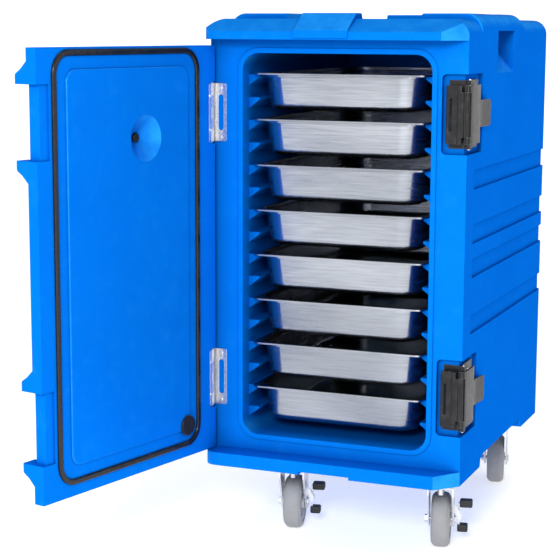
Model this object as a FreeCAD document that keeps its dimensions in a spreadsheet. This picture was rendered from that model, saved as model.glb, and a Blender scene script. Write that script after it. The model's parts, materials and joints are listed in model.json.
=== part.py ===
"""Insulated front-loading food pan carrier on four swivel casters.

Frame: +X to the right of someone facing the door side, +Y to the back, +Z up.
The origin is on the floor, under the middle of the cabinet.  All sizes are in millimetres.
"""
import FreeCAD, Part
import math
import os
import re
import Sketcher
from FreeCAD import Placement, Rotation, Vector

# Driving dimensions of the sheet, one group per assembly.
DIMENSIONS = {
    # cabinet body
    "cabinet_width": 475,
    "cabinet_depth": 600,
    "base_level": 140,
    "roof_level": 948,
    "roof_round": 28,
    "back_round": 20,
    "front_left_round": 24,
    "skin": 6,
    # rim over the door and ledge under it
    "front_reach": 40,
    "corner_bevel": 37,
    "ledge_top": 164,
    "rim_bottom": 912,
    "rim_front_top": 926,
    "rim_slope": 44,
    # stacking lugs and handle platforms on the roof
    "lug_level": 958,
    "lug_left": -65,
    "lug_width": 100,
    "lug_length": 78,
    "grip_front": -214,
    "grip_length": 300,
    "grip_inner": 120,
    "grip_slot_front": -105,
    "grip_slot_length": 120,
    "grip_slot_low": 852,
    "grip_slot_top": 928,
    "grip_hole_inner": 194,
    "grip_hole_outer": 213,
    # cavity and pan rails
    "mouth_width": 350,
    "mouth_low": 196,
    "mouth_top": 888,
    "mouth_round": 30,
    "cavity_back": 255,
    "land_width": 9,
    "land_height": 2,
    "rail_count": 16,
    "rail_pitch": 40.6,
    "rail_top": 849.5,
    "rail_reach": 20,
    "rail_front": -272,
    # recessed bands round the sides and the back
    "band_depth": 4,
    "band_front": -250,
    "band_height": 34,
    # latch recesses in the right front corner
    "recess_left": 192,
    "recess_back": -204,
    "recess_front_depth": 10,
    "recess_side_depth": 8,
    "recess_height": 136,
    "upper_recess": 720,
    "lower_recess": 228,
    # door, in its closed place; its frame has the hinge pin at x = y = 0
    "pin_left": -232,
    "pin_front": -313,
    "pin_radius": 2.5,
    "knuckle_radius": 4.5,
    "door_angle": 103,
    "door_left": -3,
    "door_right": 454,
    "door_inner": 7,
    "door_outer": -27,
    "door_low": 167,
    "door_top": 901,
    "door_edge": 20,
    "door_bevel": 16,
    "strike_inset": 10,
    "strike_thickness": 24,
    "strike_height": 120,
    "ear_height": 16,
    "ear_proud": 12,
    "panel_inset": 26,
    "panel_round": 22,
    "panel_height": 3.5,
    "door_skin": 4,
    # gasket round the door's inner panel
    "gasket_left": 50,
    "gasket_right": 414,
    "gasket_low": 191.5,
    "gasket_top": 892.5,
    "gasket_round": 34,
    "gasket_width": 10,
    # vent and plug in the door
    "vent_across": 193,
    "vent_level": 747,
    "vent_radius": 40,
    "vent_depth": 22,
    "plug_across": 85,
    "plug_level": 226,
    "plug_radius": 18.5,
    # hinges
    "hinge_height": 104,
    "upper_hinge": 730,
    "lower_hinge": 246,
    "leaf_right": 25,
    "door_leaf_right": 14,
    "leaf_thickness": 1.5,
    # casters
    "wheel_radius": 50,
    "tread_width": 34,
    "axle_radius": 4,
    "caster_trail": 28,
    "front_left_across": -98,
    "front_right_across": 188,
    "rear_left_across": -170,
    "rear_right_across": 176,
    "front_caster": -243,
    "rear_caster": 200,
    "caster_swivel": 13,
    # pans, GN 1/1, 65 deep
    "pan_width": 325,
    "pan_length": 530,
    "pan_depth": 65,
    "pan_front": -292,
    "pan_steel": 0.9,
    "pan_pitch": 81.2,
    "pan_count": 8,
}
NAMES = re.compile(r"\b(" + "|".join(sorted(DIMENSIONS, key=len, reverse=True)) + r")\b")
SIDES = {"left": -1, "right": 1}
TINY = 1e-6

DOC = FreeCAD.newDocument("food_carrier")
PARTS = []


def make_sheet():
    """The spreadsheet that holds every driving dimension under its alias."""
    sheet = DOC.addObject("Spreadsheet::Sheet", "Dims")
    for row, (alias, size) in enumerate(DIMENSIONS.items(), start=1):
        sheet.set(f"A{row}", alias)
        sheet.set(f"B{row}", str(size))
        sheet.setAlias(f"B{row}", alias)
    DOC.recompute()


def bind(item, field, formula):
    """Drive one property with a formula in the sheet's aliases."""
    item.setExpression(field, NAMES.sub(r"Dims.\1", str(formula)))


def keep(item, label):
    """Register a finished sub-part under the name of its file."""
    item.Label = label
    PARTS.append(item)
    return item


def new_body(name):
    return DOC.addObject("PartDesign::Body", name)


def new_sketch(body, plane, offset):
    """An empty sketch on one of the body's origin planes, moved along its normal."""
    sketch = body.newObject("Sketcher::SketchObject", body.Name + "_sketch")
    origin = next(item for item in body.Origin.OriginFeatures if item.Role == plane)
    sketch.AttachmentSupport = (origin, [""])
    sketch.MapMode = "FlatFace"
    bind(sketch, "AttachmentOffset.Base.z", offset)
    return sketch


def locate(sketch, geometry, point, corner):
    """Hold one end of a curve at a place given by two formulas."""
    for kind, formula in zip(("DistanceX", "DistanceY"), corner):
        index = sketch.addConstraint(Sketcher.Constraint(kind, -1, 1, geometry, point, 1.0))
        bind(sketch, f"Constraints[{index}]", formula)


def polygon(sketch, corners):
    """A closed outline of straight lines through corners given as formulas."""
    count = len(corners)
    around = [Vector(math.cos(k * math.tau / count), math.sin(k * math.tau / count), 0)
              for k in range(count)]
    for k in range(count):
        sketch.addGeometry(Part.LineSegment(around[k], around[(k + 1) % count]), False)
    for k in range(count):
        sketch.addConstraint(Sketcher.Constraint("Coincident", k, 2, (k + 1) % count, 1))
    for k, corner in enumerate(corners):
        locate(sketch, k, 1, corner)


def circle(sketch, across, up, radius):
    index = sketch.addGeometry(Part.Circle(Vector(0, 0, 0), Vector(0, 0, 1), 1), False)
    locate(sketch, index, 3, (across, up))
    size = sketch.addConstraint(Sketcher.Constraint("Radius", index, 1.0))
    bind(sketch, f"Constraints[{size}]", radius)


AXIS_PLANES = {"X": "YZ_Plane", "Y": "XZ_Plane", "Z": "XY_Plane"}


def extrude(body, axis, low, high, draw, cut=False):
    """A pad, or a pocket, of the drawn outline from low to high along an axis."""
    sketch = new_sketch(body, AXIS_PLANES[axis], f"-({high})" if axis == "Y" else low)
    draw(sketch)
    kind = "PartDesign::Pocket" if cut else "PartDesign::Pad"
    feature = body.newObject(kind, body.Name + "_step")
    feature.Profile = sketch
    feature.Type = "Length"
    feature.Reversed = cut
    bind(feature, "Length", f"({high}) - ({low})")
    before = body.Shape.Volume if cut else 0
    DOC.recompute()
    if not feature.isValid() or (cut and body.Shape.Volume > before - TINY):
        raise RuntimeError(f"{feature.Name} changes nothing")
    return feature


def prism(body, axis, low, high, corners, cut=False):
    return extrude(body, axis, low, high, lambda sketch: polygon(sketch, corners), cut)


def block(body, x_range, y_range, z_range, cut=False):
    """A rectangular pad or pocket between pairs of formulas."""
    (left, right), (front, back) = x_range, y_range
    corners = [(left, front), (right, front), (right, back), (left, back)]
    return prism(body, "Z", *z_range, corners, cut)


def drill(body, axis, across, up, radius, low, high, cut=True):
    """A round hole or a round boss along an axis."""
    return extrude(body, axis, low, high, lambda sketch: circle(sketch, across, up, radius), cut)


def dress(body, kind, radius, chosen):
    """Round or bevel the body's edges that the test picks."""
    base = body.Tip
    names = [f"Edge{n}" for n, edge in enumerate(body.Shape.Edges, start=1) if chosen(edge)]
    if not names:
        raise RuntimeError(f"no edge to dress on {body.Name}")
    feature = body.newObject("PartDesign::" + kind, body.Name + "_" + kind.lower())
    feature.Base = (base, names)
    bind(feature, "Radius" if kind == "Fillet" else "Size", radius)
    DOC.recompute()
    if not feature.isValid():
        raise RuntimeError(f"{feature.Name} cannot be made with {radius}")
    return feature


def along(axis):
    """A test for straight edges parallel to an axis."""
    def test(edge):
        if len(edge.Vertexes) != 2:
            return False
        step = edge.Vertexes[1].Point - edge.Vertexes[0].Point
        return abs(abs(step.normalize()[axis]) - 1) < TINY
    return test


def combine(kind, name, *items):
    """A boolean of finished shapes: MultiFuse, MultiCommon or Cut."""
    result = DOC.addObject("Part::" + kind, name)
    if kind == "Cut":
        result.Base, result.Tool = items
    else:
        result.Shapes = list(items)
    DOC.recompute()
    return result


def hang(item, turn="0"):
    """Put a piece drawn in the door's frame on the hinge pin, turned open."""
    item.Placement = Placement(Vector(0, 0, 0), Rotation(Vector(0, 0, -1), 1))
    bind(item, "Placement.Base.x", "pin_left")
    bind(item, "Placement.Base.y", "pin_front")
    bind(item, "Placement.Rotation.Angle", f"door_angle + {turn}")
    return item


# ---------------------------------------------------------------- cabinet

def cabinet_envelope():
    """The closed outer form: side profile, front silhouette and plan, intersected."""
    side = new_body("side_profile")
    front = "-cabinet_depth/2"
    reach = "-cabinet_depth/2 - front_reach"
    prism(side, "X", "-cabinet_width/2", "cabinet_width/2", [
        (reach, "base_level"), ("cabinet_depth/2", "base_level"),
        ("cabinet_depth/2", "roof_level"), (f"{reach} + rim_slope", "roof_level"),
        (reach, "rim_front_top"), (reach, "rim_bottom"), (front, "rim_bottom"),
        (front, "ledge_top + 2"), (reach, "ledge_top")])
    face = new_body("front_silhouette")
    block(face, ("-cabinet_width/2", "cabinet_width/2"),
          ("-cabinet_depth/2 - front_reach", "cabinet_depth/2"), ("base_level", "roof_level"))
    dress(face, "Fillet", "roof_round", lambda edge: along(1)(edge) and edge.Vertexes[0].Z > 500)
    dress(face, "Fillet", "back_round",
          lambda edge: edge.BoundBox.YMin > 299 and edge.BoundBox.ZMin > 900)
    plan = new_body("plan_outline")
    prism(plan, "Z", "base_level", "roof_level", [
        ("-cabinet_width/2", reach), ("cabinet_width/2 - corner_bevel", reach),
        ("cabinet_width/2", front), ("cabinet_width/2", "cabinet_depth/2"),
        ("-cabinet_width/2", "cabinet_depth/2")])
    dress(plan, "Fillet", "back_round",
          lambda edge: along(2)(edge) and edge.Vertexes[0].Y > 0)
    dress(plan, "Fillet", "front_left_round",
          lambda edge: along(2)(edge) and edge.Vertexes[0].X < 0 and edge.Vertexes[0].Y < 0)
    return combine("MultiCommon", "envelope", side, face, plan)


def roof_lug(name, front, slope):
    """A stacking lug: a low bar whose front end slopes down to the rim."""
    body = new_body(name)
    prism(body, "X", "lug_left", "lug_left + lug_width", [
        (f"{front} + {slope}", "lug_level"), (f"{front} + lug_length", "lug_level"),
        (f"{front} + lug_length + 8", "roof_level - 6"), (f"{front} + 12", "rim_bottom + 3"),
        (front, "rim_bottom + 3"), (front, "rim_front_top + 2")])
    dress(body, "Fillet", "3", lambda edge: edge.BoundBox.ZMax > 950)
    return body


def grip_platform(side):
    """The raised block over a carrying handle; its outer top edge is a wide round."""
    body = new_body("grip_platform")
    sign = f"{SIDES[side]}*"
    prism(body, "Y", "grip_front", "grip_front + grip_length", [
        (f"{sign}(grip_inner - 4)", "roof_level - 6"), (f"{sign}(grip_inner + 10)", "lug_level"),
        (f"{sign}cabinet_width/2", "lug_level"), (f"{sign}cabinet_width/2", "roof_level - 34"),
        (f"{sign}(cabinet_width/2 - 30)", "roof_level - 34")])
    dress(body, "Fillet", "30", lambda edge: along(1)(edge) and edge.Vertexes[0].Z > 950
          and abs(edge.Vertexes[0].X) > 230)
    dress(body, "Fillet", "3", lambda edge: along(0)(edge) and edge.Vertexes[0].Z > 950)
    return body


def mouth_block(name, grow, front, back):
    """A rounded block over the mouth, grown sideways and stretched front to back."""
    body = new_body(name)
    block(body, (f"-mouth_width/2 - {grow}", f"mouth_width/2 + {grow}"), (front, back),
          (f"mouth_low - {grow}", f"mouth_top + {grow}"))
    dress(body, "Fillet", f"mouth_round + {grow}", along(1))
    return body


def rail_block():
    """One corbelled pan rail on each side wall, repeated up the cavity."""
    body = new_body("pan_rails")
    for side in SIDES.values():
        wall, tip = f"{side}*(mouth_width/2 + 1)", f"{side}*(mouth_width/2 - rail_reach)"
        prism(body, "Y", "rail_front", "cavity_back + 1", [
            (wall, "rail_top"), (tip, "rail_top"), (tip, "rail_top - 4"), (wall, "rail_top - 20")])
    return body


def repeated_rails():
    """Every pan rail as one shape: the first pair, copied down at the rail pitch."""
    first = rail_block()
    rails = DOC.addObject("Part::Feature", "all_rails")
    sheet = DOC.Dims
    step = Vector(0, 0, -sheet.rail_pitch)
    rails.Shape = Part.makeCompound([solid.translated(step * k) for k in range(int(sheet.rail_count))
                                     for solid in first.Shape.Solids])
    return rails


def latch_recess(name, level):
    """The stepped notch round the corner that a latch sits in."""
    body = new_body(name)
    front, side = "-cabinet_depth/2", "cabinet_width/2"
    prism(body, "Z", level, f"{level} + recess_height", [
        ("recess_left", f"{front} - 1"), (f"{side} + 1", f"{front} - 1"),
        (f"{side} + 1", "recess_back"), (f"{side} - recess_side_depth", "recess_back"),
        (f"{side} - recess_side_depth", f"{front} + recess_front_depth"),
        ("recess_left", f"{front} + recess_front_depth")])
    left, back = DOC.Dims.recess_left, DOC.Dims.recess_back
    dress(body, "Fillet", "8", lambda edge: (along(1)(edge) and edge.Vertexes[0].X < left + TINY)
          or (along(0)(edge) and edge.Vertexes[0].Y > back - TINY))
    return body


def grip_slot(side):
    """The hand hole: a sloped pocket in the side wall that opens through the roof."""
    body = new_body("grip_slot")
    sign = f"{SIDES[side]}*"
    prism(body, "Y", "grip_slot_front", "grip_slot_front + grip_slot_length", [
        (f"{sign}(cabinet_width/2 + 1)", "grip_slot_low"),
        (f"{sign}(cabinet_width/2 + 1)", "grip_slot_top"),
        (f"{sign}grip_hole_outer", "grip_slot_top"), (f"{sign}grip_hole_outer", "lug_level + 1"),
        (f"{sign}grip_hole_inner", "lug_level + 1"), (f"{sign}grip_hole_inner", "grip_slot_top - 22")])
    dress(body, "Fillet", "5", lambda edge: along(1)(edge) and edge.Vertexes[0].Z < 930
          and abs(edge.Vertexes[0].X) < 220)
    return body


BAND_LEVELS = (402, 502, 562, 657)


def side_bands():
    """Four shallow bands pressed into the sides and the back."""
    body = new_body("side_bands")
    for level in BAND_LEVELS:
        block(body, ("-cabinet_width/2 - 1", "cabinet_width/2 + 1"),
              ("band_front", "cabinet_depth/2 + 1"), (level, f"{level} + band_height"))
    inside = ("-cabinet_width/2 + band_depth", "cabinet_width/2 - band_depth")
    core = new_body("band_core")
    block(core, inside, ("band_front - 1", "cabinet_depth/2 - band_depth"),
          (BAND_LEVELS[0] - 10, f"{BAND_LEVELS[-1]} + band_height + 10"))
    dress(core, "Fillet", "back_round - band_depth",
          lambda edge: along(2)(edge) and edge.Vertexes[0].Y > 0)
    return combine("Cut", "bands", body, core)


def underside_channels():
    """The raised middle of the underside, between the caster pads."""
    body = new_body("underside_channels")
    prism(body, "X", "-cabinet_width/2 - 1", "cabinet_width/2 + 1", [
        (-164, "base_level - 1"), (-160, "base_level + 14"), (-142, "base_level + 20"),
        (138, "base_level + 20"), (150, "base_level + 14"), (154, "base_level - 1")])
    block(body, (-50, 45), ("-cabinet_depth/2 - front_reach - 1", -150),
          ("base_level - 1", "base_level + 5"))
    return body


def foam_core():
    """The foam that fills the double wall, clear of every pocket in the skin."""
    body = new_body("cabinet_foam")
    half = "cabinet_width/2 - skin - band_depth"
    block(body, (f"-({half})", half), ("-cabinet_depth/2 + skin", "cabinet_depth/2 - skin - band_depth"),
          ("base_level + 26", "roof_level - skin"))
    dress(body, "Fillet", "roof_round - skin", lambda edge: along(1)(edge) and edge.Vertexes[0].Z > 900)
    block(body, ("-mouth_width/2 - skin", "mouth_width/2 + skin"),
          ("-cabinet_depth/2", "cavity_back + skin"), ("mouth_low - skin", "mouth_top + skin"), cut=True)
    for level in ("upper_recess", "lower_recess"):
        block(body, ("recess_left - skin", "cabinet_width/2"),
              ("-cabinet_depth/2", "-cabinet_depth/2 + recess_front_depth + skin"),
              (f"{level} - skin", f"{level} + recess_height + skin"), cut=True)
        block(body, ("cabinet_width/2 - recess_side_depth - skin", "cabinet_width/2"),
              ("-cabinet_depth/2", "recess_back + skin"),
              (f"{level} - skin", f"{level} + recess_height + skin"), cut=True)
    for side in SIDES.values():
        ends = sorted((side * 188, side * 240))
        block(body, ends, ("grip_slot_front - skin", "grip_slot_front + grip_slot_length + skin"),
              ("grip_slot_low - skin", "roof_level"), cut=True)
    return body


REAR_PLUG_LEVEL = 250


def cabinet():
    """The one-piece double-walled shell, its foam core and the plug of its fill hole."""
    front = "-cabinet_depth/2"
    lugs = [roof_lug("front_lug", "-cabinet_depth/2 - front_reach - 2", 46),
            roof_lug("rear_lug", "cabinet_depth/2 - lug_length - 52", 6)]
    tail = new_body("rear_lug_trim")
    block(tail, ("lug_left - 5", "lug_left + lug_width + 5"), (200, "cabinet_depth/2"),
          ("rim_bottom - 5", "roof_level - 6"))
    lugs[1] = combine("Cut", "rear_lug_top", lugs[1], tail)
    grips = [grip_platform(side) for side in SIDES]
    land = mouth_block("sealing_land", "land_width", f"{front} - land_height", f"{front} + 1")
    outer = combine("MultiFuse", "outer_form", cabinet_envelope(), land, *lugs, *grips)
    mouth = mouth_block("mouth", "0", f"{front} - 10", "cavity_back")
    rails = combine("MultiCommon", "rails_in_cavity", repeated_rails(),
                    mouth_block("rail_zone", "1", f"{front}", "cavity_back + 1"))
    cavity = combine("Cut", "cavity", mouth, rails)
    recesses = [latch_recess("upper_latch_recess", "upper_recess"),
                latch_recess("lower_latch_recess", "lower_recess")]
    slots = [grip_slot(side) for side in SIDES]
    fill = new_body("fill_hole")
    drill(fill, "Y", 0, REAR_PLUG_LEVEL, "plug_radius - 4", "cabinet_depth/2 - 12",
          "cabinet_depth/2 + 5", cut=False)
    cuts = combine("MultiFuse", "cabinet_cuts", cavity, *recesses, *slots, side_bands(),
                   underside_channels(), foam_core(), fill)
    keep(combine("Cut", "cabinet_shell_cut", outer, cuts), "cabinet_shell")
    keep(foam_core(), "cabinet_foam_core")
    keep(fill_plug("rear_plug", 0, REAR_PLUG_LEVEL, "cabinet_depth/2", 8), "rear_fill_plug")


def fill_plug(name, across, up, face, stem):
    """A push-in plug: a domed head on the skin and a stem in the fill hole."""
    body = new_body(name)
    drill(body, "Y", across, up, "plug_radius", face, f"{face} + 3.5", cut=False)
    drill(body, "Y", across, up, "plug_radius - 4.1", f"{face} - {stem}", f"{face} + 1", cut=False)
    crown = body.Shape.BoundBox.YMax
    dress(body, "Fillet", "1.5", lambda edge: edge.BoundBox.YMin > crown - 0.01)
    return body


# ---------------------------------------------------------------- door, drawn in the pin's frame

STRIKES = ("upper_recess + 4", "lower_recess + 4")


def door_slab():
    """The door's outer form: a slab with a bevelled free edge, ears and latch pockets."""
    body = new_body("door_slab")
    prism(body, "Z", "door_low", "door_top", [
        ("door_left", "door_inner"), ("door_right", "door_inner"),
        ("door_right", "door_inner - door_edge"), ("door_right - door_bevel", "door_outer"),
        ("door_left", "door_outer")])
    dress(body, "Fillet", "8", lambda edge: along(2)(edge) and edge.Vertexes[0].X < 0
          and edge.Vertexes[0].Y < 0)
    dress(body, "Fillet", "4", lambda edge: along(0)(edge) and edge.Vertexes[0].Y < -20)
    ears = new_body("door_ears")
    for level in STRIKES:
        foot, head = f"{level} - ear_height", f"{level} + strike_height + ear_height"
        prism(ears, "X", "door_right - 30", "door_right", [
            ("door_inner - 4", f"{foot} - 26"), ("door_inner - door_edge", f"{foot} - 22"),
            ("door_outer", f"{foot} - 8"), ("door_outer - ear_proud", foot),
            ("door_outer - ear_proud", head), ("door_outer", f"{head} + 8"),
            ("door_inner - door_edge", f"{head} + 22"), ("door_inner - 4", f"{head} + 26")])
    dress(ears, "Fillet", "5", lambda edge: along(0)(edge) and edge.Vertexes[0].Y < -20)
    dress(ears, "Fillet", "3", lambda edge: along(2)(edge) and edge.Vertexes[0].Y < -30)
    cuts = new_body("strike_pockets")
    proud = "door_outer - ear_proud - 1"
    for level in STRIKES:
        heights = (level, f"{level} + strike_height")
        block(cuts, ("door_right - strike_inset", "door_right + 1"), (proud, "door_inner + 1"), heights)
        block(cuts, ("door_right - 42", "door_right"), (proud, "door_inner - strike_thickness"), heights)
        block(cuts, ("door_right - 29", "door_right"), ("door_inner - 3", "door_inner + 1"), heights)
    notches = new_body("hinge_notches")
    for level in ("upper_hinge", "lower_hinge"):
        block(notches, ("door_left - 1", 6.5), (-10.8, "door_inner + 1"),
              (f"{level} - 3", f"{level} + hinge_height + 3"))
        block(notches, (6, "door_leaf_right + 1"), ("door_inner - leaf_thickness", "door_inner + 1"),
              (f"{level} - 1", f"{level} + hinge_height + 1"))
    whole = combine("MultiFuse", "door_solid", body, ears)
    return combine("Cut", "door_outline", whole, combine("MultiFuse", "door_notches", cuts, notches))


def panel_block(name, grow, back, front):
    """A rounded block within the gasket, as deep as the two formulas say."""
    body = new_body(name)
    block(body, (f"gasket_left + {grow}", f"gasket_right - {grow}"), (back, front),
          (f"gasket_low + {grow}", f"gasket_top - {grow}"))
    dress(body, "Fillet", "panel_round", along(1))
    return body


def vent_dish(name, radius, depth, foot):
    """The conical dish pressed into the door round its vent."""
    body = new_body(name)
    sketch = new_sketch(body, "XY_Plane", "vent_level")
    polygon(sketch, [("vent_across", "door_inner + 5"), (f"vent_across + {radius}", "door_inner + 5"),
                     (f"vent_across + {radius}", "door_inner + 3"),
                     (f"vent_across + {foot}", f"door_inner - {depth}"),
                     ("vent_across", f"door_inner - {depth}")])
    turn = body.newObject("PartDesign::Revolution", "dish")
    turn.Profile = sketch
    turn.ReferenceAxis = (sketch, ["Edge5"])
    turn.Angle = 360
    DOC.recompute()
    return body


def gasket_block(name, grow, back, front):
    """A rounded block as large as the gasket's middle line, grown outwards."""
    body = new_body(name)
    block(body, (f"gasket_left - {grow}", f"gasket_right + {grow}"), (back, front),
          (f"gasket_low - {grow}", f"gasket_top + {grow}"))
    dress(body, "Fillet", f"gasket_round + {grow}", along(1))
    return body


def gasket():
    """The rubber bead: a rounded ring with a half-round crown."""
    outside = gasket_block("gasket_outside", "gasket_width/2", "door_inner - 1", "door_inner + 3.8")
    inside = gasket_block("gasket_inside", "(-gasket_width/2)", "door_inner - 2", "door_inner + 5")
    ring = combine("Cut", "gasket_ring", outside, inside)
    crown = DOC.addObject("Part::Fillet", "gasket_crown")
    crown.Base = ring
    crown_level = ring.Shape.BoundBox.YMax
    crown.Edges = [(n, 2.6, 2.6) for n, edge in enumerate(ring.Shape.Edges, start=1)
                   if edge.BoundBox.YMin > crown_level - 0.01]
    DOC.recompute()
    return crown


def door():
    """The door's skin, foam core, gasket, vent cap and fill plug."""
    panel = panel_block("door_panel", "panel_inset", "door_inner - 1", "door_inner + panel_height")
    dress(panel, "Fillet", "3", lambda edge: edge.BoundBox.YMin > 9)
    whole = combine("MultiFuse", "door_with_panel", door_slab(), panel)
    groove = gasket()
    fill = new_body("door_fill_hole")
    drill(fill, "Y", "plug_across", "plug_level", "plug_radius - 4", "door_inner - 8.5",
          "door_inner + panel_height + 1", cut=False)
    seat = new_body("vent_seat")
    drill(seat, "Y", "vent_across", "vent_level", 6.1, "door_inner - vent_depth - 6",
          "door_inner - vent_depth + 1", cut=False)
    foam = door_foam()
    tools = combine("MultiFuse", "door_cuts", groove, fill, seat, foam,
                    vent_dish("vent_dish", "vent_radius", "vent_depth", 9))
    keep(hang(combine("Cut", "door_shell_cut", whole, tools)), "door_shell")
    keep(hang(door_foam()), "door_foam_core")
    keep(hang(gasket()), "door_gasket")
    plug = fill_plug("door_plug", "plug_across", "plug_level", "door_inner + panel_height", 7)
    keep(hang(plug), "door_fill_plug")
    cap = new_body("vent")
    drill(cap, "Y", "vent_across", "vent_level", 6, "door_inner - vent_depth - 5",
          "door_inner - vent_depth + 0.5", cut=False)
    drill(cap, "Y", "vent_across", "vent_level", 8, "door_inner - vent_depth",
          "door_inner - vent_depth + 4", cut=False)
    dress(cap, "Fillet", "1.5", lambda edge: edge.BoundBox.YMin > -12 and edge.BoundBox.XLength > 15)
    keep(hang(cap), "vent_cap")


def door_foam():
    """The foam inside the door, clear of the dish, the notches and the free edge."""
    body = new_body("door_foam")
    block(body, (14, "door_right - 48"), ("door_outer + door_skin", "door_inner - door_skin"),
          ("door_low + 6", "door_top - 6"))
    drill(body, "Y", "vent_across", "vent_level", "vent_radius + 8", "door_outer", "door_inner")
    for level in ("upper_hinge", "lower_hinge"):
        block(body, (10, "door_leaf_right + 4"), ("door_inner - 14", "door_inner + 1"),
              (f"{level} - 5", f"{level} + hinge_height + 5"), cut=True)
    return body


# ---------------------------------------------------------------- hinges

KNUCKLES = 5
LEAF_BACK = 13
WINDOW_MIDDLE = 14.5
WINDOW_HALF = 5
WINDOW_END = 20


def knuckles(body, level, fixed):
    """Every other barrel knuckle of a hinge, with the arm that joins it to its leaf."""
    share = f"hinge_height/{KNUCKLES}"
    for k in range(KNUCKLES):
        if (k % 2 == 0) != fixed:
            continue
        low, high = f"{level} + {k}*{share} + 0.15", f"{level} + {k + 1}*{share} - 0.15"
        drill(body, "Z", 0, 0, "knuckle_radius", low, high, cut=False)
        if fixed:
            face = f"{LEAF_BACK} - leaf_thickness"
            arm = [("-knuckle_radius - 0.5", 0), ("-knuckle_radius + 1", 0), ("-knuckle_radius + 1", face),
                   (0, face), (0, LEAF_BACK), ("-knuckle_radius - 0.5", LEAF_BACK)]
        else:
            face = "door_inner - leaf_thickness"
            arm = [("knuckle_radius - 1", 0), ("knuckle_radius + 0.5", 0), ("knuckle_radius + 0.5", face),
                   ("knuckle_radius + 3", face), ("knuckle_radius + 3", "door_inner"),
                   ("knuckle_radius - 1", "door_inner")]
        prism(body, "Z", low, high, arm)


def hinge(name, level):
    """A cranked butt hinge: a windowed leaf on the cabinet, a narrow leaf on the door and their pin."""
    fixed = new_body("fixed_leaf")
    block(fixed, (-4, "leaf_right"), (f"{LEAF_BACK} - leaf_thickness", LEAF_BACK),
          (level, f"{level} + hinge_height"))
    dress(fixed, "Fillet", "4", lambda edge: along(1)(edge) and edge.Vertexes[0].X > 20)
    block(fixed, (WINDOW_MIDDLE - WINDOW_HALF, WINDOW_MIDDLE + WINDOW_HALF), (LEAF_BACK - 5, LEAF_BACK + 1),
          (f"{level} + {WINDOW_END}", f"{level} + hinge_height - {WINDOW_END}"), cut=True)
    dress(fixed, "Fillet", WINDOW_HALF - 0.1, lambda edge: along(1)(edge)
          and abs(abs(edge.Vertexes[0].X - WINDOW_MIDDLE) - WINDOW_HALF) < TINY)
    knuckles(fixed, level, True)
    moving = new_body("moving_leaf")
    block(moving, ("knuckle_radius + 2", "door_leaf_right"), ("door_inner - leaf_thickness", "door_inner"),
          (level, f"{level} + hinge_height"))
    dress(moving, "Fillet", "3", lambda edge: along(1)(edge) and edge.Vertexes[0].X > 10)
    knuckles(moving, level, False)
    for leaf in (fixed, moving):
        drill(leaf, "Z", 0, 0, "pin_radius + 0.05", f"{level} - 1", f"{level} + hinge_height + 1")
    pin = new_body("hinge_pin")
    drill(pin, "Z", 0, 0, "pin_radius", f"{level} - 2.5", f"{level} + hinge_height + 1", cut=False)
    drill(pin, "Z", 0, 0, "knuckle_radius", f"{level} + hinge_height",
          f"{level} + hinge_height + 2.5", cut=False)
    dress(pin, "Fillet", "1", lambda edge: edge.BoundBox.ZMin > 0 and edge.BoundBox.ZLength < TINY
          and edge.BoundBox.XLength > 8)
    keep(hang(fixed, "-door_angle"), f"hinge_cabinet_leaf_{name}")
    keep(hang(moving), f"hinge_door_leaf_{name}")
    keep(hang(pin, "-door_angle"), f"hinge_pin_{name}")


def screw_shape(head, shank, length):
    """A pan-head screw along Z with the underside of its head at zero."""
    body = Part.makeCylinder(head, 0.5 * head, Vector(0, 0, 0))
    body = body.makeFillet(0.35 * head, [body.Edges[0]])
    slot = Part.makeBox(1.4 * head, 0.25 * head, head, Vector(-0.7 * head, -0.125 * head, 0.3 * head))
    stem = Part.makeCylinder(shank, length + 0.1, Vector(0, 0, -length))
    return body.cut(slot).fuse(stem).removeSplitter()


def fasteners(label, shape, places):
    """Identical fasteners in one node: a copy of the shape at every place."""
    group = DOC.addObject("Part::Feature", label)
    group.Shape = Part.makeCompound([shape.transformed(place.toMatrix()) for place in places])
    return keep(group, label)


def hinge_screws():
    """Two screws in each leaf, heads in the gap that the closed door leaves."""
    sheet = DOC.Dims
    levels = [base + rise for base in (sheet.upper_hinge, sheet.lower_hinge)
              for rise in (8, sheet.hinge_height - 8)]
    shape = screw_shape(2.6, 1.4, 5)
    fixed = [Placement(Vector(WINDOW_MIDDLE, LEAF_BACK - sheet.leaf_thickness, level),
                       Rotation(Vector(1, 0, 0), 90)) for level in levels]
    moving = [Placement(Vector(sheet.door_leaf_right - 3.8, sheet.door_inner,
                               level + 14 * (1 if k % 2 == 0 else -1)),
                        Rotation(Vector(1, 0, 0), -90)) for k, level in enumerate(levels)]
    hang(fasteners("hinge_cabinet_screws", shape, fixed), "-door_angle")
    hang(fasteners("hinge_door_screws", shape, moving))


# ---------------------------------------------------------------- latches, drawn from the handle's pin

LATCH_PIN = (238.5, -294.0)
HOOK_PIN = (-1.0, -9.5)
HANDLE_PIN_RADIUS = 2.5
HOOK_PIN_RADIUS = 2.0
RUNNING = 0.05
LATCH_MIDDLE = "recess_height/2"
LEG_FACE = 1.9
EYE = 8


def latch_base():
    """The corner plate: a leg on each recess wall and an eye at top and bottom."""
    body = new_body("latch_base")
    prism(body, "Z", 10, "recess_height - 10", [
        (-36, LEG_FACE), (-5, LEG_FACE), (-5, 72), (-8.8, 72), (-8.8, 3.9), (-36, 3.9)])
    for low in (10, f"recess_height - 10 - {EYE}"):
        prism(body, "Z", low, f"{low} + {EYE}", [
            (-8.8, 3.9), (-4.5, -3.6), (3.6, -4.4), (4.4, 3), (-5, 12), (-8.8, 9)])
    drill(body, "Z", 0, 0, HANDLE_PIN_RADIUS, 9, "recess_height - 9")
    return body


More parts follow.
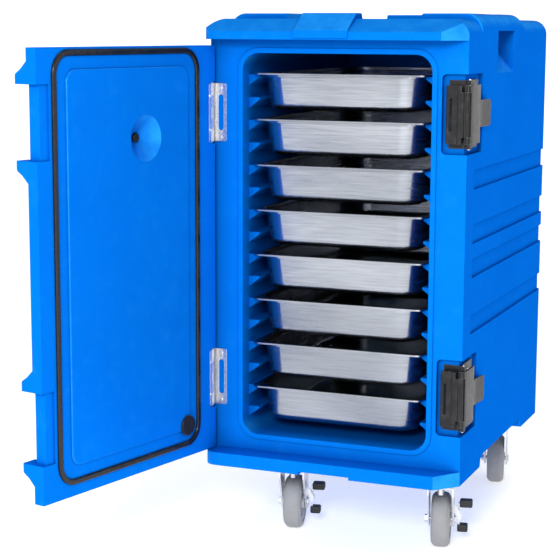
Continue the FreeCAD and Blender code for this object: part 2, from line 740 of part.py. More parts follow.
def latch_handle():
    """The lever: a curved cover, its pull tab and the two ears that carry the hook's pin."""
    body = new_body("latch_handle")
    low, high = "18.4", "recess_height - 18.4"
    prism(body, "Z", low, high, [
        (-3.6, -3), (-4.6, -12), (1, -13.4), (4.6, -9), (6.2, 2), (6.6, 40), (4.4, 56), (1.4, 56),
        (3, 40), (2.4, 4)])
    dress(body, "Fillet", "1.4", lambda edge: along(2)(edge) and edge.Vertexes[0].Y > 50)
    prism(body, "Z", f"{LATCH_MIDDLE} - 23", f"{LATCH_MIDDLE} + 23", [
        (1.6, 50), (4.6, 50), (5.4, 70), (9.6, 106), (6.6, 107), (2.4, 72)])
    dress(body, "Fillet", "6", lambda edge: edge.Length < 5 and edge.BoundBox.YMin > 100
          and edge.BoundBox.ZLength < TINY)
    drill(body, "Z", 0, 0, HANDLE_PIN_RADIUS + RUNNING, 18, "recess_height - 18")
    drill(body, "Z", *HOOK_PIN, HOOK_PIN_RADIUS, 18, "recess_height - 18")
    block(body, (-8, 8), (-15, -4.4), (f"{LATCH_MIDDLE} - 38", f"{LATCH_MIDDLE} + 38"), cut=True)
    return body


def latch_hook():
    """The hook: a barrel round its pin, a stiffening rib, a slotted plate and a lip for the strike."""
    body = new_body("latch_hook")
    middle = LATCH_MIDDLE
    narrow = (f"{middle} - 37.6", f"{middle} + 37.6")
    wide = (f"{middle} - 49.4", f"{middle} + 49.4")
    drill(body, "Z", 0, 0, 3.8, *narrow, cut=False)
    prism(body, "Z", *narrow, [(0, -3.6), (0, -0.6), (-9, -0.6), (-9, -3.6)])
    prism(body, "Z", *wide, [(-8.4, -3.6), (-8.4, -0.6), (-33, -0.6), (-33, 2.4), (-36, 2.4), (-37, -3.6)])
    dress(body, "Fillet", "2.4", lambda edge: along(2)(edge) and edge.Vertexes[0].X < -36.5)
    prism(body, "Z", *narrow, [(-3.6, -3.2), (-4.4, -7), (-6, -8.2), (-9, -8.2), (-9, -3.2)])
    prism(body, "Z", *wide, [(-8.4, -3.2), (-8.4, -8.2), (-14.4, -8.2), (-16, -6.6), (-16.6, -3.2)])
    block(body, (-31.5, -25.5), (-5, 1), (f"{middle} - 28", f"{middle} + 28"), cut=True)
    drill(body, "Z", 0, 0, HOOK_PIN_RADIUS + RUNNING, f"{middle} - 39", f"{middle} + 39")
    return body


def latch_pin(radius, low, high):
    body = new_body("latch_pin")
    drill(body, "Z", 0, 0, radius, low, high, cut=False)
    return body


def latch(name, level):
    """One draw latch: base, handle, hook and the two pins."""
    pieces = {
        "base": (latch_base(), (0, 0)),
        "handle": (latch_handle(), (0, 0)),
        "handle_pin": (latch_pin(HANDLE_PIN_RADIUS, 8, "recess_height - 8"), (0, 0)),
        "hook": (latch_hook(), HOOK_PIN),
        "hook_pin": (latch_pin(HOOK_PIN_RADIUS, 19, "recess_height - 19"), HOOK_PIN),
    }
    for label, (item, shift) in pieces.items():
        item.Placement.Base = Vector(LATCH_PIN[0] + shift[0], LATCH_PIN[1] + shift[1], 0)
        bind(item, "Placement.Base.z", level)
        keep(item, f"latch_{label}_{name}")


def latch_screws():
    """Two screws through the side leg and two through the front leg of each base."""
    sheet = DOC.Dims
    shape = screw_shape(3.4, 1.8, 9)
    side = LATCH_PIN[0] - 5
    front = LATCH_PIN[1] + LEG_FACE
    places = []
    for level in (sheet.upper_recess, sheet.lower_recess):
        for rise in (24, sheet.recess_height - 24):
            places.append(Placement(Vector(side, -250, level + rise), Rotation(Vector(0, 1, 0), 90)))
            places.append(Placement(Vector(212, front, level + rise), Rotation(Vector(1, 0, 0), 90)))
    fasteners("latch_screws", shape, places)


# ---------------------------------------------------------------- casters, drawn from their swivel axis

CASTER_PLACES = {
    "front_left": ("front_left_across", "front_caster"),
    "front_right": ("front_right_across", "front_caster"),
    "rear_left": ("rear_left_across", "rear_caster"),
    "rear_right": ("rear_right_across", "rear_caster"),
}
PLATE_HALF = 45
BOLT_REACH = 34


def caster_place(item, corner, level="0", swivel="caster_swivel"):
    across, along_y = CASTER_PLACES[corner]
    item.Placement = Placement(Vector(0, 0, 0), Rotation(Vector(0, 0, 1), 1))
    bind(item, "Placement.Base.x", across)
    bind(item, "Placement.Base.y", along_y)
    bind(item, "Placement.Base.z", level)
    bind(item, "Placement.Rotation.Angle", swivel)
    return item


def caster_plate():
    """The top plate with its raceway dome and the kingpin that carries the fork."""
    body = new_body("caster_plate")
    half = PLATE_HALF
    block(body, (-half, half), (-half, half), ("base_level - 3", "base_level"))
    dress(body, "Fillet", "8", along(2))
    drill(body, "Z", 0, 0, 27, "base_level - 14", "base_level - 2", cut=False)
    dress(body, "Fillet", "4", lambda edge: edge.BoundBox.ZMax < 127 and edge.BoundBox.XLength > 50)
    drill(body, "Z", 0, 0, 6, "base_level - 36", "base_level - 4", cut=False)
    for x in (-BOLT_REACH, BOLT_REACH):
        for y in (-BOLT_REACH, BOLT_REACH):
            drill(body, "Z", x, y, 4.2, "base_level - 4", "base_level + 1")
    return body


def caster_fork():
    """The stamped fork: a crown plate under the raceway and two tapering legs."""
    body = new_body("caster_fork")
    block(body, (-24, 24), (-20, 34), ("base_level - 34", "base_level - 18"))
    block(body, (-20.5, 20.5), (-30, 44), ("base_level - 35", "base_level - 21"), cut=True)
    for side in SIDES.values():
        ends = sorted((side * 20.5, side * 24))
        prism(body, "X", *ends, [
            (-20, "base_level - 26"), (34, "base_level - 26"), (36, "base_level - 40"),
            ("caster_trail + 12", 46), ("caster_trail + 6", 38), ("caster_trail - 6", 38),
            ("caster_trail - 12", 46), (-18, "base_level - 34")])
    dress(body, "Fillet", "3", lambda edge: along(1)(edge) and abs(edge.Vertexes[0].X) > 23
          and edge.Vertexes[0].Z > 121)
    drill(body, "Z", 0, 0, 26, "base_level - 19", "base_level - 14.3", cut=False)
    drill(body, "Z", 0, 0, 6.1, "base_level - 40", "base_level - 10")
    drill(body, "X", "caster_trail", "wheel_radius", "axle_radius + 0.05", -30, 30)
    return body


def wheel_profile(body, corners, name):
    """A solid of revolution about the wheel's axle, which runs along X."""
    sketch = new_sketch(body, "XY_Plane", "wheel_radius")
    polygon(sketch, [(across, f"caster_trail + {out}") for across, out in corners])
    axle = sketch.addGeometry(Part.LineSegment(Vector(-1, 3, 0), Vector(1, 3, 0)), True)
    locate(sketch, axle, 1, (-10, "caster_trail"))
    locate(sketch, axle, 2, (10, "caster_trail"))
    turn = body.newObject("PartDesign::Revolution", name)
    turn.Profile = sketch
    turn.ReferenceAxis = (sketch, ["Axis0"])
    turn.Angle = 360
    DOC.recompute()
    return turn


def caster_tyre():
    """The grey rubber tyre, crowned across its tread."""
    body = new_body("caster_tyre")
    half = "tread_width/2"
    wheel_profile(body, [(f"-{half} + 2", 35), (f"{half} - 2", 35), (half, 37), (half, "wheel_radius - 7"),
                         (f"{half} - 5", "wheel_radius - 1.4"), (f"{half} - 10", "wheel_radius"),
                         (f"-{half} + 10", "wheel_radius"), (f"-{half} + 5", "wheel_radius - 1.4"),
                         (f"-{half}", "wheel_radius - 7"), (f"-{half}", 37)], "tyre")
    dress(body, "Fillet", "4", lambda edge: edge.BoundBox.YLength > 85)
    return body


def caster_hub():
    """The pale wheel centre: a rim, a thin web and the axle boss."""
    body = new_body("caster_hub")
    half = "tread_width/2"
    wheel_profile(body, [
        (-18.5, "axle_radius + 0.1"), (18.5, "axle_radius + 0.1"), (18.5, 12), (8, 15), (5, 26),
        (f"{half} - 2", 30), (f"{half} - 2", 35), (f"-{half} + 2", 35), (f"-{half} + 2", 30),
        (-5, 26), (-8, 15), (-18.5, 12)], "hub")
    return body


def caster_axle():
    """The axle bolt: a nut outside one leg of the fork and a flat head outside the other."""
    body = new_body("caster_axle")
    drill(body, "X", "caster_trail", "wheel_radius", "axle_radius", -27, 26, cut=False)
    for low, high in ((-30, -24), (24, 26.2)):
        hexagon = [(f"caster_trail + {7.5 * math.cos(k * math.pi / 3):.3f}",
                    f"wheel_radius + {7.5 * math.sin(k * math.pi / 3):.3f}") for k in range(6)]
        prism(body, "X", low, high, hexagon)
    return body


BRAKE_PIVOT = (32.0, 56.0)


def brake_pedal():
    """The rocker on the fork's outer side: two arms bent outwards from its pivot."""
    body = new_body("brake_pedal")
    prism(body, "Y", "caster_trail + 1", "caster_trail + 13", [
        (30.5, 33), (45, 33), (45, 36), (33.5, 36), (33.5, 50), (36.5, 53), (36.5, 59), (33.5, 62),
        (33.5, 77), (52, 78.5), (52, 81.5), (30.5, 80), (30.5, 62), (28.6, 59), (28.6, 53), (30.5, 50)])
    return body


def brake_pads():
    """The two black foot pads pushed over the ends of the rocker."""
    pads = []
    for name, across, levels in (("upper", (33, 56), (73, 87)), ("lower", (29, 48), (27, 41))):
        pad = new_body(f"{name}_pad")
        block(pad, across, ("caster_trail - 2", "caster_trail + 16"), levels)
        dress(pad, "Fillet", "3", lambda edge: True)
        pads.append(pad)
    return combine("Cut", "pads", combine("MultiFuse", "both_pads", *pads), brake_pedal())


def brake_bracket(body):
    """The lug and the pivot that a braked fork carries for its rocker."""
    prism(body, "Y", "caster_trail - 6", "caster_trail - 3", [
        (22, 66), (22, 80), (26, 80), (36.5, 61), (36.5, 52), (28, 52), (28, 60)])
    drill(body, "Y", *BRAKE_PIVOT, 2.4, "caster_trail - 6", "caster_trail + 14", cut=False)
    drill(body, "Y", *BRAKE_PIVOT, 4, "caster_trail + 13.4", "caster_trail + 16", cut=False)
    return body


def casters():
    for corner in CASTER_PLACES:
        front = corner.startswith("front")
        keep(caster_place(caster_plate(), corner, swivel="0"), f"caster_plate_{corner}")
        fork = caster_fork()
        if front:
            brake_bracket(fork)
        keep(caster_place(fork, corner), f"caster_fork_{corner}")
        keep(caster_place(caster_tyre(), corner), f"caster_tyre_{corner}")
        keep(caster_place(caster_hub(), corner), f"caster_hub_{corner}")
        keep(caster_place(caster_axle(), corner), f"caster_axle_{corner}")
        if front:
            pedal = brake_pedal()
            drill(pedal, "Y", *BRAKE_PIVOT, 2.45, "caster_trail", "caster_trail + 14")
            keep(caster_place(pedal, corner), f"brake_pedal_{corner}")
            keep(caster_place(brake_pads(), corner), f"brake_pads_{corner}")


def caster_bolts():
    """Four bolts up through each caster plate into the base."""
    sheet = DOC.Dims
    shape = screw_shape(6.5, 4, 12)
    places = []
    for across, along_y in CASTER_PLACES.values():
        middle = Vector(getattr(sheet, across), getattr(sheet, along_y), sheet.base_level - 3)
        for dx in (-BOLT_REACH, BOLT_REACH):
            for dy in (-BOLT_REACH, BOLT_REACH):
                spot = middle + Vector(dx, dy, 0)
                places.append(Placement(spot, Rotation(Vector(1, 0, 0), 180)))
    fasteners("caster_bolts", shape, places)


# ---------------------------------------------------------------- pans, drawn with the flange's top at zero

def tub(name, grow, top, bottom):
    """A tapering rounded tub between two levels, grown outwards by a wall."""
    body = new_body(name)
    half_x, half_y = f"pan_width/2 - 12 + {grow}", f"pan_length/2 - 12 + {grow}"
    middle = "pan_length/2"
    corners = [(f"-({half_x})", f"{middle} - ({half_y})"), (half_x, f"{middle} - ({half_y})"),
               (half_x, f"{middle} + {half_y}"), (f"-({half_x})", f"{middle} + {half_y}")]
    feature = extrude(body, "Z", bottom, top, lambda sketch: polygon(sketch, corners))
    feature.Reversed = False
    bind(body.Group[0], "AttachmentOffset.Base.z", top)
    feature.Reversed = True
    feature.TaperAngle = -6
    DOC.recompute()
    dress(body, "Fillet", f"40 + {grow}", lambda edge: edge.BoundBox.ZLength > 20)
    dress(body, "Fillet", f"14 + {grow}", lambda edge: edge.BoundBox.ZMax < edge.BoundBox.ZMin + TINY
          and edge.BoundBox.ZMin < -20)
    return body


def pans():
    """Eight full-size pans, one on every second rail."""
    outer = tub("pan_outside", "pan_steel", 0, "-pan_depth")
    inner = tub("pan_inside", 0, 0.5, "-pan_depth + pan_steel")
    step = new_body("pan_step")
    block(step, ("-pan_width/2 + 8", "pan_width/2 - 8"), (8, "pan_length - 8"), (-7, 0))
    dress(step, "Fillet", "42", along(2))
    step_inside = new_body("pan_step_inside")
    block(step_inside, ("-pan_width/2 + 8 + pan_steel", "pan_width/2 - 8 - pan_steel"),
          ("8 + pan_steel", "pan_length - 8 - pan_steel"), ("-7 + pan_steel", 1))
    dress(step_inside, "Fillet", "42 - pan_steel", along(2))
    flange = new_body("pan_flange")
    block(flange, ("-pan_width/2", "pan_width/2"), (0, "pan_length"), (-3, 0))
    dress(flange, "Fillet", "14", along(2))
    under = new_body("pan_flange_inside")
    block(under, ("-pan_width/2 + pan_steel", "pan_width/2 - pan_steel"),
          ("pan_steel", "pan_length - pan_steel"), (-4, "-pan_steel"))
    dress(under, "Fillet", "13", along(2))
    lip = combine("Cut", "pan_lip", flange, under)
    hull = combine("MultiFuse", "pan_hull", outer, step)
    whole = combine("MultiFuse", "pan_form", hull, lip)
    hollow = combine("MultiFuse", "pan_hollow", inner, step_inside)
    for k in range(int(DOC.Dims.pan_count)):
        pan = combine("Cut", "pan_cut", whole, hollow)
        bind(pan, "Placement.Base.y", "pan_front")
        bind(pan, "Placement.Base.z", f"rail_top + 3.2 - {k}*pan_pitch")
        keep(pan, f"pan_{k + 1}")


# ---------------------------------------------------------------- all of it

def write_parts():
    """Check every object, then write one STEP file for each sub-part."""
    DOC.recompute()
    for item in DOC.Objects:
        if {"Invalid", "Error"} & set(item.State):
            raise RuntimeError(f"{item.Label} failed: {item.State}")
    os.makedirs("parts", exist_ok=True)
    for part in PARTS:
        if part.Shape.isNull() or not part.Shape.isValid():
            raise RuntimeError(f"{part.Label} has no valid shape")
        part.Shape.exportStep(f"parts/{part.Label}.step")
        print(part.Label, len(part.Shape.Solids), round(part.Shape.Volume / 1000, 2))


def main():
    make_sheet()
    cabinet()
    door()
    hinge("upper", "upper_hinge")
    hinge("lower", "lower_hinge")
    hinge_screws()
    latch("upper", "upper_recess")
    latch("lower", "lower_recess")
    latch_screws()
    casters()
    caster_bolts()
    pans()
    write_parts()


main()
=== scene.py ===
"""Looks of the insulated food carrier: materials, rounded edges, camera, lights and floor."""
import json
import math

import bmesh
import bpy
from mathutils import Euler, Matrix, Vector

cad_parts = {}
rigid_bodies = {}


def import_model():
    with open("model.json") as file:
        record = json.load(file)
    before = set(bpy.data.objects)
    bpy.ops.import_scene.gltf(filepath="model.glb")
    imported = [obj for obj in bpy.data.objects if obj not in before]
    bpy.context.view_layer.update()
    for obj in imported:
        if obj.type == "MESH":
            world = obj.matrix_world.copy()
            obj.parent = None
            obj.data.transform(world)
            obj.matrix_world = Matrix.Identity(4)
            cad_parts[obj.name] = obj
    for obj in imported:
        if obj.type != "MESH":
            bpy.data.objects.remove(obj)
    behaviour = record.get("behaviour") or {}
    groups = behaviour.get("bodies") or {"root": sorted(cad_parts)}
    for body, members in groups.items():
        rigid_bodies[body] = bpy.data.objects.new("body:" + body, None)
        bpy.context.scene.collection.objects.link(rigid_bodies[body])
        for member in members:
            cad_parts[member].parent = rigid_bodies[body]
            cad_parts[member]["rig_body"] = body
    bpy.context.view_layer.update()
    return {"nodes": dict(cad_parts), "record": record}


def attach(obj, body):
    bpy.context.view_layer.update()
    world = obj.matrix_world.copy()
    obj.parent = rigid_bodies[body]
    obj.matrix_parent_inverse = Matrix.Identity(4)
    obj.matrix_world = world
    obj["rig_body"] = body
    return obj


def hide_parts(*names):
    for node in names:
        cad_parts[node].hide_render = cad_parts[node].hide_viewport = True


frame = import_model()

MM = 0.001
NODES = frame["nodes"]
SLOT_OF = {row["node"]: row["material_slot"] for row in frame["record"]["subparts"]}

SOCKETS = {
    "color": "Base Color",
    "rough": "Roughness",
    "metal": "Metallic",
    "normal": "Normal",
    "specular": "Specular IOR Level",
    "tint": "Specular Tint",
    "glow": "Emission Color",
    "glow_strength": "Emission Strength",
}


# ---------------------------------------------------------------- material graphs

class Graph:
    """A material's node tree, with short calls that add nodes and join them."""

    def __init__(self, name):
        self.material = bpy.data.materials.new(name)
        self.material.use_nodes = True
        self.tree = self.material.node_tree
        self.shader = self.tree.nodes["Principled BSDF"]
        self.coords = self.add("ShaderNodeTexCoord").outputs["Object"]

    def add(self, kind, inputs=None, **settings):
        """Add a node with its settings, and feed its inputs."""
        node = self.tree.nodes.new(kind)
        for key, value in settings.items():
            setattr(node, key, value)
        for key, value in (inputs or {}).items():
            self.feed(node.inputs[key], value)
        return node

    def feed(self, socket, value):
        """Join a socket to another node's output, or set its own value."""
        if isinstance(value, bpy.types.NodeSocket):
            self.tree.links.new(value, socket)
        elif isinstance(value, tuple) and len(value) == 3 and socket.type == "RGBA":
            socket.default_value = (*value, 1.0)
        else:
            socket.default_value = value

    def set(self, **values):
        """Feed the shader's sockets, named as in SOCKETS, and return the material."""
        for key, value in values.items():
            self.feed(self.shader.inputs[SOCKETS[key]], value)
        return self.material

    def stretched(self, sx, sy, sz):
        """Object coordinates stretched so that a texture runs in streaks."""
        mapping = self.add("ShaderNodeMapping", {"Vector": self.coords})
        mapping.inputs["Scale"].default_value = (sx, sy, sz)
        return mapping.outputs["Vector"]

    def noise(self, scale, detail=4.0, rough=0.55, vector=None, warp=0.0):
        inputs = {"Vector": vector or self.coords, "Scale": scale, "Detail": detail, "Roughness": rough,
                  "Distortion": warp}
        return self.add("ShaderNodeTexNoise", inputs).outputs["Fac"]

    def voronoi(self, scale, feature="F1"):
        node = self.add("ShaderNodeTexVoronoi", {"Vector": self.coords, "Scale": scale}, feature=feature)
        return node.outputs["Color" if feature == "F1" else "Distance"]

    def level(self, value, low, high, out_low=0.0, out_high=1.0):
        """Value mapped from one range to another, and held inside it."""
        node = self.add("ShaderNodeMapRange", {"Value": value, "From Min": low, "From Max": high,
                                               "To Min": out_low, "To Max": out_high})
        return node.outputs["Result"]

    def math(self, kind, first, second=0.0):
        node = self.add("ShaderNodeMath", operation=kind)
        self.feed(node.inputs[0], first)
        self.feed(node.inputs[1], second)
        return node.outputs["Value"]

    def mix(self, amount, first, second, blend="MIX"):
        node = self.add("ShaderNodeMix", data_type="RGBA", blend_type=blend)
        self.feed(node.inputs["Factor"], amount)
        self.feed(node.inputs["A"], first)
        self.feed(node.inputs["B"], second)
        return node.outputs["Result"]

    def bump(self, height, distance, strength=1.0, normal=None):
        inputs = {"Height": height, "Distance": distance, "Strength": strength}
        if normal is not None:
            inputs["Normal"] = normal
        return self.add("ShaderNodeBump", inputs).outputs["Normal"]

    def edges(self, radius):
        """About 0 on flats and up to 1 on convex and concave edges, and the rounded normal there."""
        rounded = self.add("ShaderNodeBevel", {"Radius": radius}, samples=6).outputs["Normal"]
        true = self.add("ShaderNodeNewGeometry").outputs["Normal"]
        dot = self.add("ShaderNodeVectorMath", operation="DOT_PRODUCT")
        self.feed(dot.inputs[0], rounded)
        self.feed(dot.inputs[1], true)
        return self.level(dot.outputs["Value"], 0.995, 0.80), rounded

    def rounds(self, turn):
        """0 on faces square to the axes, after a turn in degrees about Z, and up to 1 on the rounds."""
        normal = self.add("ShaderNodeTexCoord").outputs["Normal"]
        square = self.add("ShaderNodeVectorRotate", {"Vector": normal, "Angle": math.radians(turn)},
                          rotation_type="Z_AXIS").outputs["Vector"]
        size = self.add("ShaderNodeVectorMath", operation="ABSOLUTE")
        self.feed(size.inputs[0], square)
        parts = self.add("ShaderNodeSeparateXYZ", {"Vector": size.outputs["Vector"]}).outputs
        largest = self.math("MAXIMUM", self.math("MAXIMUM", parts["X"], parts["Y"]), parts["Z"])
        return self.level(largest, 0.985, 0.80)


def moulded_plastic(name, color, light, dark, turn=0.0):
    """Rotomoulded polyethylene: orange peel, mottling, fine scuffs, a painted highlight on the rounds and
    painted shade in recesses.

    Its sheen is a small metallic share with a blue tint, because a clear gloss turned the side pale."""
    g = Graph(name)
    mottle = g.noise(5.0, 3.0)
    patch = g.noise(38.0, 5.0, 0.6)
    peel = g.noise(190.0, 2.0, 0.5)
    grain = g.noise(1150.0, 2.0, 0.6)
    scuff = g.noise(60.0, 8.0, 0.7, g.stretched(1.0, 1.0, 9.0), 1.2)
    # Painted highlight mask: rounded edges and sloping faces, found from normals that are not square to
    # the axes.
    edge_highlight_and_wear = g.rounds(turn)
    rounded = g.edges(1.5 * MM)[1]
    open_air = g.add("ShaderNodeAmbientOcclusion", {"Distance": 0.05}, samples=4).outputs["AO"]
    tone = g.mix(g.level(mottle, 0.35, 0.65, 0.0, 0.5), color, dark)
    tone = g.mix(g.level(patch, 0.52, 0.72, 0.0, 0.05), tone, light)
    # Painted highlight: the rounds are lightened towards the light colour in patches, and less in
    # recesses.
    painted_edge_highlight = g.math("MULTIPLY", edge_highlight_and_wear, g.level(patch, 0.36, 0.60, 0.18, 0.36))
    tone = g.mix(g.math("MULTIPLY", painted_edge_highlight, open_air), tone, light)
    # Painted shade: recesses are darkened towards the recess colour where ambient occlusion is low.
    tone = g.mix(g.level(open_air, 0.35, 0.95, 0.70, 0.0), tone, PAINTED_RECESS_SHADE)
    tone = g.mix(g.level(scuff, 0.66, 0.74, 0.0, 0.10), tone, light)
    shine = g.level(grain, 0.3, 0.7, 0.26, 0.36)
    shine = g.math("ADD", shine, g.level(scuff, 0.60, 0.75, 0.0, 0.12))
    height = g.math("ADD", peel, g.math("MULTIPLY", grain, 0.22))
    return g.set(color=tone, rough=shine, specular=0.0, metal=0.25, tint=(0.03, 0.30, 0.95),
                 normal=g.bump(height, 0.22 * MM, 0.55, rounded))


def dark_plastic(name, color, light):
    """Glass-filled plastic: dark, finely grained and greyer on its edges, partly edge wear and partly a
    painted highlight.
    """
    g = Graph(name)
    grain = g.noise(900.0, 3.0)
    patch = g.noise(70.0, 4.0)
    edge_highlight_and_wear, rounded = g.edges(1.2 * MM)
    # Lighter edges: partly edge wear, partly a painted highlight.
    tone = g.mix(g.math("MULTIPLY", edge_highlight_and_wear, 0.9), color, light)
    tone = g.mix(g.level(patch, 0.5, 0.75, 0.0, 0.10), tone, light)
    return g.set(color=tone, rough=g.level(patch, 0.3, 0.7, 0.26, 0.40), specular=0.25,
                 normal=g.bump(grain, 0.00012, 0.6, rounded))


def rubber(name, color, light, rough):
    """Rubber: matte, dusty in patches, with a fine skin."""
    g = Graph(name)
    dust = g.noise(45.0, 6.0, 0.65)
    grain = g.noise(700.0, 3.0)
    edge_highlight_and_wear, rounded = g.edges(0.8 * MM)
    tone = g.mix(g.level(dust, 0.45, 0.75, 0.0, 0.35), color, light)
    # Lighter edges: partly edge wear, partly a painted highlight.
    tone = g.mix(g.math("MULTIPLY", edge_highlight_and_wear, 0.35), tone, light)
    return g.set(color=tone, rough=g.level(dust, 0.3, 0.7, rough - 0.06, rough + 0.1), specular=0.4,
                 normal=g.bump(grain, 0.00014, 0.5, rounded))


def brushed_steel(name, color, dark, streaks, rough=0.24, deep=0.00003):
    """Stainless sheet with fine straight streaks, broad soft smears and brighter edges, partly edge wear
    and partly a painted highlight.
    """
    g = Graph(name)
    fine = g.noise(420.0, 3.0, 0.6, g.stretched(*streaks))
    smear = g.noise(5.0, 1.0, 0.4)
    edge_highlight_and_wear, rounded = g.edges(0.6 * MM)
    tone = g.mix(g.level(fine, 0.3, 0.7, 0.0, 0.35), color, dark)
    tone = g.mix(g.level(smear, 0.35, 0.65, 0.0, 0.45), tone, dark)
    # Brighter edges: partly edge wear, partly a painted highlight.
    tone = g.mix(g.math("MULTIPLY", edge_highlight_and_wear, 0.6), tone, (0.92, 0.92, 0.93))
    shine = g.level(fine, 0.3, 0.7, rough - 0.06, rough + 0.06)
    shine = g.math("ADD", shine, g.level(smear, 0.5, 0.8, 0.0, 0.10))
    return g.set(color=tone, metal=1.0, rough=shine, normal=g.bump(fine, deep, 0.5, rounded))


def zinc_plate(name, color, dark):
    """Bright zinc plate with a faint spangle, duller patches and brighter edges, partly edge wear and
    partly a painted highlight.
    """
    g = Graph(name)
    spangle = g.voronoi(260.0)
    grey = g.add("ShaderNodeRGBToBW", {"Color": spangle}).outputs["Val"]
    patch = g.noise(90.0, 5.0, 0.6)
    edge_highlight_and_wear, rounded = g.edges(0.7 * MM)
    tone = g.mix(g.level(grey, 0.0, 1.0, 0.0, 0.35), color, dark)
    tone = g.mix(g.level(patch, 0.5, 0.8, 0.0, 0.4), tone, dark)
    # Brighter edges: partly edge wear, partly a painted highlight.
    tone = g.mix(g.math("MULTIPLY", edge_highlight_and_wear, 0.5), tone, (0.88, 0.89, 0.90))
    return g.set(color=tone, metal=1.0, rough=g.level(patch, 0.3, 0.7, 0.24, 0.42),
                 normal=g.bump(patch, 0.00008, 0.4, rounded))


def foam(name):
    """Insulating foam: pale yellow, with small cells."""
    g = Graph(name)
    cells = g.voronoi(900.0, "DISTANCE_TO_EDGE")
    tone = g.mix(g.level(cells, 0.0, 0.2), (0.62, 0.55, 0.36), (0.86, 0.80, 0.62))
    return g.set(color=tone, rough=0.9, normal=g.bump(cells, 0.0003, 0.5))


# Colours of the two mouldings: plain, lighter (for patches, scuffs and the painted highlight on the
# rounds) and mottled, then the painted shade in their recesses.
CABINET_BLUES = ((0.001, 0.165, 0.66), (0.04, 0.46, 0.98), (0.001, 0.145, 0.60))
DOOR_BLUES = ((0.001, 0.165, 0.72), (0.04, 0.45, 0.98), (0.001, 0.145, 0.65))
# Painted shade colour for the recesses of both mouldings.
PAINTED_RECESS_SHADE = (0.0, 0.045, 0.24)
# At rest the door stands this many degrees past square.
DOOR_TURN = 13.0

MATERIALS = {
    "cabinet_skin": moulded_plastic("cabinet_plastic", *CABINET_BLUES),
    "door_skin": moulded_plastic("door_plastic", *DOOR_BLUES, DOOR_TURN),
    "foam": foam("insulation_foam"),
    "gasket": rubber("gasket_rubber", (0.006, 0.006, 0.007), (0.02, 0.02, 0.022), 0.22),
    "plug": dark_plastic("plug_plastic", (0.012, 0.012, 0.014), (0.05, 0.05, 0.055)),
    "pin_steel": brushed_steel("pin_steel", (0.66, 0.66, 0.67), (0.45, 0.45, 0.46), (1.0, 1.0, 0.05)),
    "hinge_steel": brushed_steel("hinge_steel", (0.88, 0.88, 0.88), (0.72, 0.72, 0.72),
                                 (6.0, 6.0, 0.4), 0.25),
    "fastener_steel": brushed_steel("fastener_steel", (0.62, 0.62, 0.63), (0.42, 0.42, 0.43),
                                    (1.0, 1.0, 1.0), 0.3),
    "latch_plastic": dark_plastic("latch_plastic", (0.010, 0.010, 0.011), (0.20, 0.20, 0.205)),
    "tyre": rubber("tyre_rubber", (0.25, 0.25, 0.25), (0.33, 0.33, 0.32), 0.55),
    "hub": dark_plastic("hub_plastic", (0.50, 0.50, 0.50), (0.62, 0.62, 0.61)),
    "zinc": zinc_plate("zinc_plate", (0.72, 0.73, 0.74), (0.52, 0.53, 0.55)),
    "pad": rubber("pad_rubber", (0.010, 0.010, 0.011), (0.05, 0.05, 0.05), 0.55),
    "pan_steel": brushed_steel("pan_steel", (0.44, 0.46, 0.50), (0.15, 0.165, 0.19),
                               (0.04, 0.04, 1.0), 0.20, 0.00001),
}


def dress_nodes():
    """Every CAD node gets the material of its slot."""
    for name, item in NODES.items():
        item.data.materials.clear()
        item.data.materials.append(MATERIALS[SLOT_OF[name]])


# ---------------------------------------------------------------- rounded copies of the CAD nodes

WELD = 0.004 * MM
FLAT = math.radians(0.4)
SHARP = math.radians(26.0)


def refined(node, width, segments):
    """A copy of a CAD node with flat faces joined and sharp edges rounded; it stands for the node."""
    source = NODES[node]
    mesh = source.data.copy()
    if "custom_normal" in mesh.attributes:
        mesh.attributes.remove(mesh.attributes["custom_normal"])
    work = bmesh.new()
    work.from_mesh(mesh)
    bmesh.ops.remove_doubles(work, verts=work.verts, dist=WELD)
    bmesh.ops.dissolve_limit(work, angle_limit=FLAT, verts=work.verts, edges=work.edges)
    work.to_mesh(mesh)
    work.free()
    for face in mesh.polygons:
        face.use_smooth = True
    mesh.set_sharp_from_angle(angle=SHARP)
    piece = bpy.data.objects.new(node + "_look", mesh)
    bpy.context.scene.collection.objects.link(piece)
    if width:
        bevel = piece.modifiers.new("rounding", "BEVEL")
        bevel.width = width
        bevel.segments = segments
        bevel.limit_method = "ANGLE"
        bevel.angle_limit = SHARP
        bevel.use_clamp_overlap = True
        bevel.harden_normals = True
        bevel.miter_outer = "MITER_ARC"
    weighted = piece.modifiers.new("normals", "WEIGHTED_NORMAL")
    weighted.keep_sharp = True
    mesh.materials.clear()
    mesh.materials.append(MATERIALS[SLOT_OF[node]])
    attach(piece, source["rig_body"])
    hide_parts(node)
    return piece


# Start of a node's name, how wide its edges are rounded, and in how many steps.
ROUNDING = (
    ("cabinet_shell", 3.6 * MM, 4),
    ("door_gasket", 0.0, 0),
    ("door_shell", 3.2 * MM, 4),
    ("latch_handle", 0.9 * MM, 3),
    ("latch_base", 0.5 * MM, 2),
    ("latch_hook", 0.5 * MM, 2),
    ("hinge_cabinet_leaf", 0.35 * MM, 2),
    ("hinge_door_leaf", 0.35 * MM, 2),
    ("caster_fork", 0.6 * MM, 2),
    ("caster_plate", 0.5 * MM, 2),
    ("caster_hub", 0.6 * MM, 2),
    ("caster_axle", 0.4 * MM, 2),
    ("brake_pedal", 0.5 * MM, 2),
    ("pan_", 0.25 * MM, 2),
)


def refine_nodes():
    """Every node that ROUNDING names gets a rounded copy."""
    for name in sorted(NODES):
        for start, width, segments in ROUNDING:
            if name.startswith(start):
                refined(name, width, segments)


# ---------------------------------------------------------------- camera, light and floor

CAMERA_SPOT = (0.9459, -2.8896, 0.935)
CAMERA_TURN = math.radians(22.155)
CAMERA_DIP = math.radians(9.048)
CAMERA_ROLL = math.radians(0.206)
CAMERA_LENS = 102.386

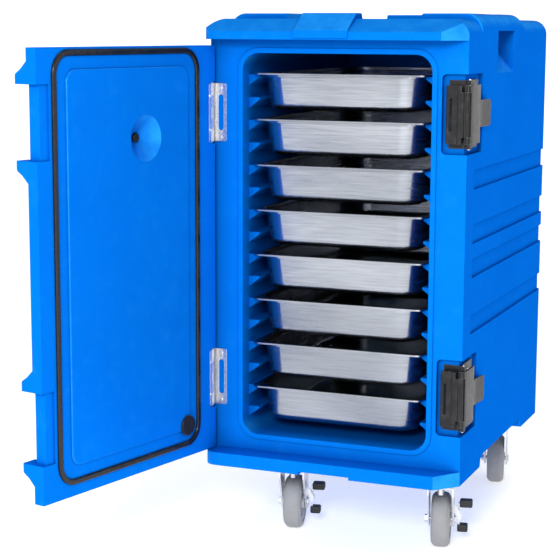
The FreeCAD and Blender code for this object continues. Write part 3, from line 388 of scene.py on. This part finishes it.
FLOOR_BEND = 12.0
FLOOR_BEND_RADIUS = 3.0
FLOOR_WALL_TOP = 6.0
FLOOR_SIDES = 72
FLOOR_STEP = 6


def camera():
    """The viewing position, a little above and to the right of the cabinet's front."""
    data = bpy.data.cameras.new("camera")
    data.sensor_width = 36.0
    data.lens = CAMERA_LENS
    data.clip_end = 60.0
    item = bpy.data.objects.new("camera", data)
    item.location = CAMERA_SPOT
    look = Euler((math.radians(90) - CAMERA_DIP, 0.0, CAMERA_TURN), "XYZ").to_matrix()
    item.rotation_euler = (look @ Matrix.Rotation(CAMERA_ROLL, 3, "Z")).to_euler()
    bpy.context.scene.collection.objects.link(item)
    bpy.context.scene.camera = item


def area_light(name, spot, target, size, power):
    """A rectangular light at spot, turned to face target."""
    data = bpy.data.lights.new(name, "AREA")
    data.shape = "RECTANGLE"
    data.size, data.size_y = size
    data.energy = power
    item = bpy.data.objects.new(name, data)
    item.location = spot
    item.rotation_euler = (Vector(target) - Vector(spot)).to_track_quat("-Z", "Y").to_euler()
    bpy.context.scene.collection.objects.link(item)


def lights():
    """An even, slightly blue sky, two soft boxes in front and a broad sun overhead."""
    world = bpy.data.worlds.new("studio")
    world.use_nodes = True
    sky = world.node_tree.nodes["Background"]
    sky.inputs["Color"].default_value = (0.94, 0.96, 1.0, 1.0)
    sky.inputs["Strength"].default_value = 0.30
    bpy.context.scene.world = world
    area_light("key", (0.9, -4.4, 2.2), (0.0, 0.0, 0.5), (1.0, 1.0), 165.0)
    area_light("strip", (2.0, -3.8, 1.4), (0.1, -0.3, 0.6), (0.3, 2.2), 8.0)
    overhead = bpy.data.lights.new("overhead", "SUN")
    overhead.energy = 0.9
    overhead.angle = math.radians(40)
    bpy.context.scene.collection.objects.link(bpy.data.objects.new("overhead", overhead))


def floor_mesh():
    """A round floor that curves up into a low wall all round, as rings of points joined by faces."""
    profile = []
    for degrees in range(0, 91, FLOOR_STEP):
        turn = math.radians(degrees)
        out = FLOOR_BEND + FLOOR_BEND_RADIUS * math.sin(turn)
        profile.append((out, FLOOR_BEND_RADIUS - FLOOR_BEND_RADIUS * math.cos(turn)))
    profile.append((FLOOR_BEND + FLOOR_BEND_RADIUS, FLOOR_WALL_TOP))
    angles = [k * math.tau / FLOOR_SIDES for k in range(FLOOR_SIDES)]
    corners = [(out * math.cos(angle), out * math.sin(angle), z) for out, z in profile for angle in angles]
    faces = [tuple(range(FLOOR_SIDES))]
    for ring in range(len(profile) - 1):
        for k in range(FLOOR_SIDES):
            near, far = ring * FLOOR_SIDES, (ring + 1) * FLOOR_SIDES
            after = (k + 1) % FLOOR_SIDES
            faces.append((near + k, far + k, far + after, near + after))
    mesh = bpy.data.meshes.new("floor")
    mesh.from_pydata(corners, [], faces)
    for face in mesh.polygons:
        face.use_smooth = True
    return mesh


def floor_paper():
    """White backdrop paper, partly self-lit so that it stays as pale as the background in the photo."""
    g = Graph("floor_paper")
    tone = g.mix(g.noise(1.2, 4.0), (0.80, 0.80, 0.80), (0.84, 0.84, 0.84))
    return g.set(color=tone, rough=0.75, specular=0.1, glow=(1.0, 1.0, 1.0), glow_strength=0.50,
                 normal=g.bump(g.noise(90.0), 0.2 * MM, 0.2))


def floor():
    """The floor is part of the stage, not of the object."""
    mesh = floor_mesh()
    mesh.materials.append(floor_paper())
    item = bpy.data.objects.new("floor", mesh)
    bpy.context.scene.collection.objects.link(item)


bpy.context.scene.view_settings.view_transform = "Standard"
camera()
lights()
floor()
dress_nodes()
refine_nodes()

bpy.context.view_layer.update()
